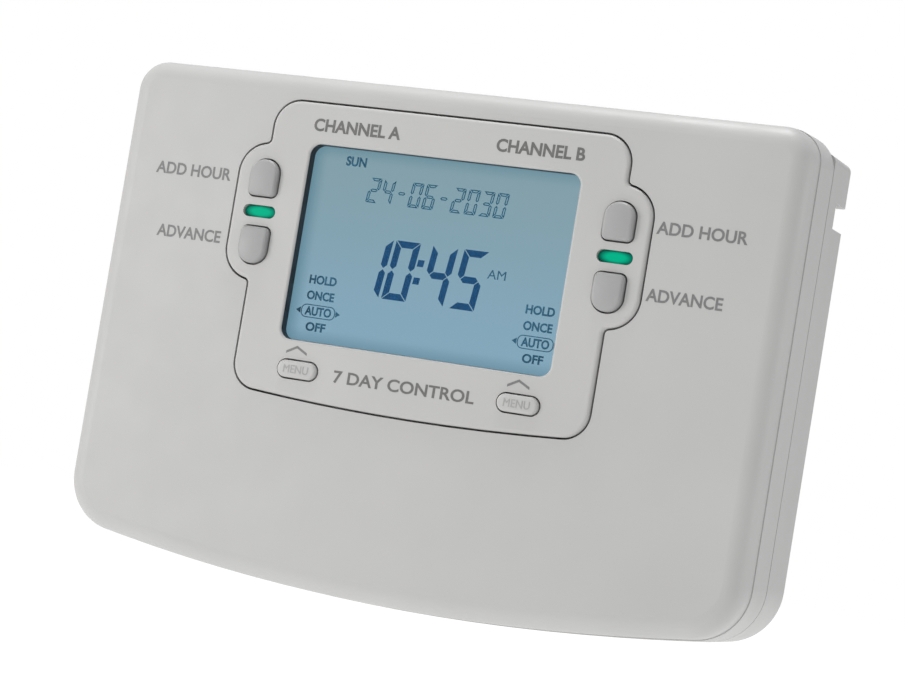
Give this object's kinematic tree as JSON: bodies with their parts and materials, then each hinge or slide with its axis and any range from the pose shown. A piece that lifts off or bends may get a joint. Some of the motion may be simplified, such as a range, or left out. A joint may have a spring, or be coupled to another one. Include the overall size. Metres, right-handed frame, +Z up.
{
  "type": "programmable heating timer",
  "caption": "Wall-mounted two-channel heating and hot-water timer with a hinged front cover, segment display, side and mode buttons, wall plate and internals.",
  "frame": {"origin": "centre of the wall plate's back face, midway between its two fixing slots, on the wall plane", "axes": "+X to the right seen from the front, +Y into the wall, +Z up; the front faces -Y"},
  "size_m": [0.14, 0.031, 0.099],
  "materials": {
    "case_plastic": "fine satin texture, light warm grey",
    "panel_plastic": "fine satin texture, slightly lighter grey",
    "button_plastic": "satin, mid grey",
    "key_plastic": "satin, darker grey",
    "clear_lens": "clear polished acrylic",
    "display_glass": "polished glass",
    "reflector_film": "blue-grey diffuse film",
    "light_guide": "clear acrylic guide",
    "emitter_body": "moulded emitter body",
    "white_plastic": "plain moulded",
    "elastomer": "layered conductive rubber",
    "green_light_pipe": "translucent green, lit from behind",
    "board_laminate": "solder-masked glass laminate",
    "tinned_metal": "bright tin plate",
    "black_plastic": "moulded black",
    "film_capacitor": "yellow moulded case",
    "capacitor_sleeve": "dark sleeve",
    "varistor_coat": "blue dipped coat",
    "resistor_coat": "tan lacquer",
    "cell_steel": "brushed",
    "terminal_plastic": "moulded",
    "brass": "machined",
    "zinc_steel": "zinc plated",
    "pin_steel": "drawn wire"
  },
  "bodies": {
    "case": {"backlight_guide": "light_guide", "backlight_leds": "emitter_body", "backup_cell": "cell_steel", "board_screws": "zinc_steel", "case_screws": "zinc_steel", "cell_holder": "black_plastic", "circuit_board": "board_laminate", "clock_crystal": "cell_steel", "connector_blades": "tinned_metal", "contact_strips": "elastomer", "control_fascia": "panel_plastic", "display_front_glass": "display_glass", "display_holder": "black_plastic", "display_lens": "clear_lens", "display_rear_glass": "display_glass", "display_reflector": "reflector_film", "dropper_capacitor": "film_capacitor", "function_switch": "black_plastic", "hinge_pin": "pin_steel", "key_switches": "black_plastic", "light_pipe_left": "green_light_pipe", "light_pipe_right": "green_light_pipe", "microcontroller": "black_plastic", "microcontroller_legs": "tinned_metal", "mode_switches": "black_plastic", "power_resistors": "resistor_coat", "rear_housing": "case_plastic", "relays": "black_plastic", "reservoir_capacitor": "capacitor_sleeve", "retaining_screws": "zinc_steel", "side_switches": "black_plastic", "status_leds": "emitter_body", "terminal_block": "terminal_plastic", "terminal_clamps": "brass", "terminal_screws": "zinc_steel", "varistor": "varistor_coat", "wall_plate": "white_plastic"},
    "cover": {"front_cover": "case_plastic"},
    "function_slider": {"function_knob": "key_plastic"},
    "advance_button_left_body": {"advance_button_left": "button_plastic"},
    "advance_button_right_body": {"advance_button_right": "button_plastic"},
    "extra_hour_button_left_body": {"extra_hour_button_left": "button_plastic"},
    "extra_hour_button_right_body": {"extra_hour_button_right": "button_plastic"},
    "mode_button_left_body": {"mode_button_left": "panel_plastic"},
    "mode_button_right_body": {"mode_button_right": "panel_plastic"},
    "program_key_1_body": {"program_key_1": "key_plastic"},
    "program_key_2_body": {"program_key_2": "key_plastic"},
    "program_key_3_body": {"program_key_3": "key_plastic"},
    "program_key_4_body": {"program_key_4": "key_plastic"},
    "program_key_5_body": {"program_key_5": "key_plastic"},
    "program_key_6_body": {"program_key_6": "key_plastic"}
  },
  "joints": [
    {"name": "cover_hinge", "type": "hinge", "parent": "case", "child": "cover", "pos_m": [0, -0.0152, -0.0468], "axis": [1, 0, 0], "range_deg": [0, 90]},
    {"name": "advance_button_left_press", "type": "slide", "parent": "case", "child": "advance_button_left_body", "axis": [0, 1, 0], "range_m": [0, 0.0006], "stiffness_N_per_m": 800},
    {"name": "advance_button_right_press", "type": "slide", "parent": "case", "child": "advance_button_right_body", "axis": [0, 1, 0], "range_m": [0, 0.0006], "stiffness_N_per_m": 800},
    {"name": "extra_hour_button_left_press", "type": "slide", "parent": "case", "child": "extra_hour_button_left_body", "axis": [0, 1, 0], "range_m": [0, 0.0006], "stiffness_N_per_m": 800},
    {"name": "extra_hour_button_right_press", "type": "slide", "parent": "case", "child": "extra_hour_button_right_body", "axis": [0, 1, 0], "range_m": [0, 0.0006], "stiffness_N_per_m": 800},
    {"name": "mode_button_left_press", "type": "slide", "parent": "case", "child": "mode_button_left_body", "axis": [0, 1, 0], "range_m": [0, 0.0006], "stiffness_N_per_m": 800},
    {"name": "mode_button_right_press", "type": "slide", "parent": "case", "child": "mode_button_right_body", "axis": [0, 1, 0], "range_m": [0, 0.0006], "stiffness_N_per_m": 800},
    {"name": "program_key_1_press", "type": "slide", "parent": "case", "child": "program_key_1_body", "axis": [0, 1, 0], "range_m": [0, 0.0006], "stiffness_N_per_m": 800},
    {"name": "program_key_2_press", "type": "slide", "parent": "case", "child": "program_key_2_body", "axis": [0, 1, 0], "range_m": [0, 0.0006], "stiffness_N_per_m": 800},
    {"name": "program_key_3_press", "type": "slide", "parent": "case", "child": "program_key_3_body", "axis": [0, 1, 0], "range_m": [0, 0.0006], "stiffness_N_per_m": 800},
    {"name": "program_key_4_press", "type": "slide", "parent": "case", "child": "program_key_4_body", "axis": [0, 1, 0], "range_m": [0, 0.0006], "stiffness_N_per_m": 800},
    {"name": "program_key_5_press", "type": "slide", "parent": "case", "child": "program_key_5_body", "axis": [0, 1, 0], "range_m": [0, 0.0006], "stiffness_N_per_m": 800},
    {"name": "program_key_6_press", "type": "slide", "parent": "case", "child": "program_key_6_body", "axis": [0, 1, 0], "range_m": [0, 0.0006], "stiffness_N_per_m": 800},
    {"name": "function_slide", "type": "slide", "parent": "case", "child": "function_slider", "axis": [1, 0, 0], "range_m": [-0.004, 0.004]}
  ]
}
